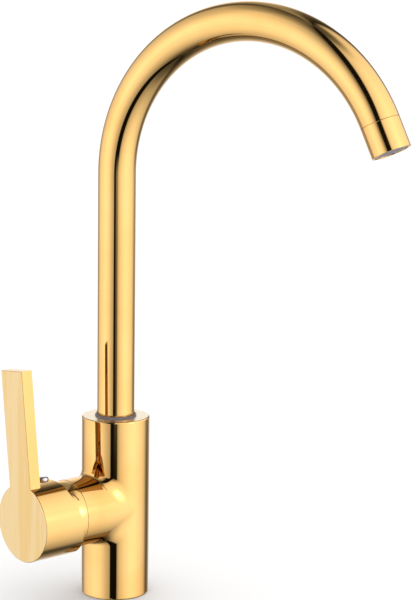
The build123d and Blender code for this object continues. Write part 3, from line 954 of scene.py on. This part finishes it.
@dataclass
class Spout:
    """The spout's tube: a straight rise, then one wide bend to the outlet.

    The wall's whole section is a grid: rows up the outside, over the outlet's lip, back down the
    bore and over the foot's lip. A Geometry Nodes tree gives each point its place on the path.
    """

    node: str = "spout_tube"
    body: str = "spout"
    slot: Slot = Slot.GOLD
    tube_radius: float = 14.0 * MM
    wall: float = 1.0 * MM
    straight_top: float = 319.5 * MM
    bend_radius: float = 114.0 * MM
    bend_angle: float = math.radians(154.5)
    turn: float = math.radians(-75.6)
    path_steps: int = 230
    round_steps: int = 80
    lip_angle: float = math.radians(50.0)

    def _inputs(self) -> dict[str, tuple[str, Number]]:
        """List the tree's named inputs.

        Returns:
            Each input's socket type and value, by its name.
        """
        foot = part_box(self.node)[0].z
        return {
            "Foot Height": ("NodeSocketFloat", foot),
            "Straight Length": ("NodeSocketFloat", self.straight_top - foot),
            "Bend Radius": ("NodeSocketFloat", self.bend_radius),
            "Bend Angle": ("NodeSocketFloat", self.bend_angle),
            "Spout Turn": ("NodeSocketFloat", self.turn),
            "Tube Radius": ("NodeSocketFloat", self.tube_radius),
            "Wall": ("NodeSocketFloat", self.wall),
            "Path Steps": ("NodeSocketInt", self.path_steps),
            "Round Steps": ("NodeSocketInt", self.round_steps),
        }

    @staticmethod
    def _places(graph: Graph, size: dict[str, Sock]) -> Sock:
        """Work out where each point of the grid goes on the tube.

        Rows up to Path Steps are the outside, from the foot to the outlet. The next ones are the
        bore, on the way back, and the last one lies on the first.

        Args:
            graph: the tree's graph.
            size: the tree's named inputs.

        Returns:
            Each point's place.
        """
        steps, around = size["Path Steps"], size["Round Steps"]
        number = graph.add("GeometryNodeInputIndex")
        row = graph.add("ShaderNodeMath", {0: number / (around + 1)}, operation="FLOOR")
        column = number - row * (around + 1)
        inside = row.above(steps + 0.5) * (1 - row.above(steps * 2 + 1.5))
        step = row.wrapped(steps * 2 + 2)
        step = step + inside * (steps * 2 + 1 - step * 2)
        radius = size["Tube Radius"] - inside * size["Wall"]
        bend_length = size["Bend Radius"] * size["Bend Angle"]
        way = step / steps * (size["Straight Length"] + bend_length)
        bent = way.above(size["Straight Length"]) * (way - size["Straight Length"])
        angle = bent / size["Bend Radius"]
        round_angle = column / around * -math.tau
        outwards = radius * round_angle.cosine()
        along = size["Bend Radius"] - (size["Bend Radius"] - outwards) * angle.cosine()
        up = size["Foot Height"] + way - bent + (size["Bend Radius"] - outwards) * angle.sine()
        aside = radius * round_angle.sine()
        return graph.add(
            "ShaderNodeCombineXYZ",
            {
                "X": along * size["Spout Turn"].cosine() - aside * size["Spout Turn"].sine(),
                "Y": along * size["Spout Turn"].sine() + aside * size["Spout Turn"].cosine(),
                "Z": up,
            },
        )

    def _tree(self, material: bpy.types.Material) -> bpy.types.NodeTree:
        """Build the tree that makes the tube.

        Args:
            material: the finish that the tree sets on its mesh.

        Returns:
            The node tree, with the inputs that _inputs names.
        """
        tree = bpy.data.node_groups.new("bent_tube", "GeometryNodeTree")
        graph = Graph(tree)
        tree.interface.new_socket("Geometry", in_out="OUTPUT", socket_type="NodeSocketGeometry")
        names = self._inputs()
        for name, (kind, _) in names.items():
            tree.interface.new_socket(name, in_out="INPUT", socket_type=kind)
        source = graph.node("NodeGroupInput")
        size = {name: Sock(graph, source.outputs[name]) for name in names}
        rows, columns = size["Path Steps"] * 2 + 3, size["Round Steps"] + 1
        counts = {"Vertices X": rows, "Vertices Y": columns}
        grid = graph.add("GeometryNodeMeshGrid", counts, output="Mesh")
        place = self._places(graph, size)
        shape = graph.add("GeometryNodeSetPosition", {"Geometry": grid, "Position": place})
        closed = graph.add("GeometryNodeMergeByDistance", {"Geometry": shape, "Distance": WELD})
        smooth = graph.add("GeometryNodeSetShadeSmooth", {"Geometry": closed, "Shade Smooth": True})
        corner = graph.add("GeometryNodeInputMeshEdgeAngle", output="Unsigned Angle")
        lips = graph.add(
            "GeometryNodeSetShadeSmooth",
            {"Geometry": smooth, "Shade Smooth": 1 - corner.above(self.lip_angle)},
            domain="EDGE",
        )
        plated = graph.add("GeometryNodeSetMaterial", {"Geometry": lips, "Material": material})
        real = graph.add("GeometryNodeRealizeInstances", {"Geometry": plated})
        graph.node("NodeGroupOutput", {"Geometry": real})
        return tree

    def build(self, tap: TapFrame) -> bpy.types.Object:
        """Run the tree and keep its plain mesh as the tube.

        Args:
            tap: the dressed frame.

        Returns:
            The tube.
        """
        tree = self._tree(tap.materials[self.slot])
        maker = bpy.data.objects.new("tube_maker", bpy.data.meshes.new("tube_maker"))
        bpy.context.scene.collection.objects.link(maker)
        modifier = maker.modifiers.new("tube", "NODES")
        modifier.node_group = tree
        values = self._inputs()
        for item in tree.interface.items_tree:
            if item.in_out == "INPUT":
                modifier[item.identifier] = values[item.name][1]
        whole = maker.evaluated_get(bpy.context.evaluated_depsgraph_get())
        mesh = bpy.data.meshes.new_from_object(whole)
        maker.modifiers.remove(modifier)
        bpy.data.objects.remove(maker)
        piece = bpy.data.objects.new("swivel_tube", mesh)
        bpy.context.scene.collection.objects.link(piece)
        tap.place(piece, self.body, self.slot.value, self.node)
        return piece


# ---------------------------------------------------------------- studio


@dataclass(frozen=True)
class Camera:
    """The camera: its place, where it looks and its lens."""

    place: tuple[float, float, float] = (-0.94025, -1.11302, 0.47672)
    heading: float = 42.80
    pitch_down: float = 9.79
    roll: float = 0.754
    lens: float = 119.08
    sensor: float = 36.0

    def build(self) -> None:
        """Make the camera and set it as the scene's."""
        data = bpy.data.cameras.new("camera")
        data.lens = self.lens
        data.sensor_width = self.sensor
        data.clip_end = 100.0
        camera = bpy.data.objects.new("camera", data)
        turn = Matrix.Rotation(-math.radians(self.heading), 4, "Z")
        tip = Matrix.Rotation(math.radians(90.0 - self.pitch_down), 4, "X")
        roll = Matrix.Rotation(math.radians(self.roll), 4, "Z")
        camera.matrix_world = Matrix.Translation(self.place) @ turn @ tip @ roll
        bpy.context.scene.collection.objects.link(camera)
        bpy.context.scene.camera = camera


@dataclass(frozen=True)
class Panel:
    """One lit side of the tent, as the polished metal sees it.

    The heading is in degrees from the camera's side, towards the camera's right, and the height
    is in degrees over the horizon.
    """

    name: str
    by_heading: tuple[tuple[float, float], ...]
    by_height: tuple[tuple[float, float], ...]

    def level(self, graph: Graph, heading: Sock, height: Sock) -> Sock:
        """Return the panel's brightness in every direction.

        Args:
            graph: the world's graph.
            heading: the direction's heading, from 0 to 1 for -180 to 180 degrees.
            height: the direction's height, from 0 to 1 for -90 to 90 degrees.

        Returns:
            The product of both profiles.
        """
        brightest = max(level for _, level in self.by_heading)
        round_stops = [(place / 360.0 + 0.5, level / brightest) for place, level in self.by_heading]
        high_stops = [(place / 180.0 + 0.5, share) for place, share in self.by_height]
        across = graph.add("ShaderNodeValToRGB", {0: heading}, stops=round_stops)
        upwards = graph.add("ShaderNodeValToRGB", {0: height}, stops=high_stops)
        return across * upwards * brightest


BACK_WALL_HEIGHTS = (
    (-7, 0.0), (7, 0.98), (14, 1.0), (24, 0.72), (34, 0.42), (46, 0.27), (70, 0.24), (90, 0.15),
)
BACK_TABLE_HEIGHTS = (
    (-90, 0.06), (-60, 0.1), (-48, 0.35), (-36, 0.66), (-24, 0.95), (-10, 1.0), (-7, 1.0), (7, 0.0),
)
PANELS = (
    Panel(
        "lamp on the right",
        ((36, 0.0), (46, 0.35), (56, 1.9), (64, 1.9), (72, 0.6), (84, 0.0)),
        ((-4, 0.0), (5, 0.3), (12, 1.0), (17, 1.0), (24, 0.3), (33, 0.0)),
    ),
    Panel(
        "left tent",
        (
            (-154, 0.0), (-145, 0.2), (-138, 0.72), (-120, 0.9), (-96, 1.08), (-72, 1.34),
            (-54, 1.14), (-42, 0.84), (-34, 0.5), (-27, 0.15), (-25, 0.0),
        ),
        (
            (-7, 0.0), (7, 1.0), (12, 1.0), (28, 0.86), (40, 0.72), (50, 0.62), (56, 0.44),
            (62, 0.33), (70, 0.2), (76, 0.12), (90, 0.08),
        ),
    ),
    Panel(
        "right tent",
        (
            (-5, 0.0), (-1, 0.72), (4, 0.95), (22, 1.18), (40, 1.36), (60, 1.43), (84, 1.33),
            (108, 1.25), (126, 1.12), (138, 0.98), (146, 0.7), (152, 0.1), (155, 0.0),
        ),
        (
            (-15, 0.0), (12, 0.95), (30, 0.98), (45, 0.9), (57, 0.8), (64, 0.68), (69, 0.45),
            (75, 0.16), (80, 0.08), (90, 0.05),
        ),
    ),
    Panel(
        "back wall, right half",
        ((150, 0.0), (158, 0.1), (166, 0.3), (178, 1.15), (180, 1.2)),
        BACK_WALL_HEIGHTS,
    ),
    Panel(
        "back wall, left half",
        ((-180, 1.2), (-168, 1.05), (-162, 0.55), (-154, 0.22), (-145, 0.2), (-138, 0.0)),
        BACK_WALL_HEIGHTS,
    ),
    Panel(
        "left table",
        (
            (-150, 0.22), (-138, 0.36), (-128, 0.72), (-116, 0.98), (-96, 1.12), (-72, 1.32),
            (-54, 1.2), (-42, 1.02), (-28, 0.72), (-16, 0.52), (-14, 0.0),
        ),
        (
            (-90, 0.04), (-78, 0.09), (-70, 0.24), (-60, 0.45), (-50, 0.63), (-38, 0.76),
            (-25, 0.88), (-12, 0.94), (-7, 1.0), (7, 0.0),
        ),
    ),
    Panel(
        "right table",
        (
            (7, 0.0), (10, 0.5), (18, 0.84), (34, 1.12), (52, 1.36), (72, 1.38), (96, 1.14),
            (112, 0.9), (120, 0.66), (128, 0.25), (136, 0.12), (146, 0.18),
        ),
        (
            (-90, 0.04), (-78, 0.06), (-70, 0.13), (-60, 0.35), (-50, 0.53), (-40, 0.7),
            (-27, 0.83), (-15, 0.94), (12, 0.0),
        ),
    ),
    Panel(
        "back table, right half",
        ((146, 0.0), (150, 0.18), (160, 0.38), (174, 0.66), (180, 0.66)),
        BACK_TABLE_HEIGHTS,
    ),
    Panel(
        "back table, left half",
        ((-180, 0.66), (-168, 0.62), (-156, 0.45), (-150, 0.22), (-146, 0.0)),
        BACK_TABLE_HEIGHTS,
    ),
)


@dataclass(frozen=True)
class Studio:
    """A white tent with the camera's dark gap in it, over a pale floor.

    Fill is what the floor and matt parts get, and loss is what a second reflection is dimmed by.
    """

    front: float = Camera.heading
    dark: float = 0.006
    floor_size: float = 30.0
    floor_colour: tuple[float, float, float] = (0.86, 0.86, 0.86)
    floor_roughness: float = 0.9
    fill: float = 1.25
    loss: float = 0.62
    one_bounce: float = 2.5

    def build(self) -> None:
        """Make the floor and the world."""
        self._floor()
        self._world()
        view = bpy.context.scene.view_settings
        view.view_transform = "Standard"

    def _floor(self) -> None:
        """Make the pale floor, which the polished metal doesn't mirror."""
        bpy.ops.mesh.primitive_plane_add(size=self.floor_size)
        floor = bpy.context.object
        floor.name = "floor"
        floor.visible_glossy = False
        finish = Finish("floor", self.floor_colour, self.floor_roughness, specular=0.0)
        floor.data.materials.append(finish.material())

    def _world(self) -> None:
        """Make the tent's light: plain for the floor and matt parts, with panels for the metal."""
        world = bpy.data.worlds.new("studio")
        bpy.context.scene.world = world
        world.use_nodes = True
        graph = Graph(world.node_tree)
        way = graph.add("ShaderNodeTexCoord", output="Generated")
        east, north, up = (graph.add("ShaderNodeSeparateXYZ", {0: way}, output=axis) for axis in "XYZ")
        front = math.radians(self.front)
        towards = east * -math.sin(front) + north * -math.cos(front)
        side = east * math.cos(front) - north * math.sin(front)
        heading = graph.add("ShaderNodeMath", {0: side, 1: towards}, operation="ARCTAN2") / math.tau + 0.5
        height = graph.add("ShaderNodeMath", {0: up}, operation="ARCSINE") / math.pi + 0.5
        tent = Sock.sum([panel.level(graph, heading, height) for panel in PANELS]) + self.dark
        glossy = graph.add("ShaderNodeLightPath", output="Is Glossy Ray")
        again = graph.add("ShaderNodeLightPath", output="Ray Depth").above(self.one_bounce)
        level = glossy * tent * (1 - again * self.loss) + (1 - glossy) * self.fill
        background = graph.add("ShaderNodeBackground", {"Color": (1.0, 1.0, 1.0), "Strength": level})
        graph.node("ShaderNodeOutputWorld", {"Surface": background})


# ---------------------------------------------------------------- main


def main() -> None:
    """Load the frame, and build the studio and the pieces."""
    logging.basicConfig(level=logging.INFO, format="%(name)s %(message)s")
    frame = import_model()
    Camera().build()
    Studio().build()
    tap = TapFrame(frame)
    tap.dress()
    Handle().dress(tap)
    Body().build(tap)
    Spout().build(tap)


if __name__ == "__main__":
    main()
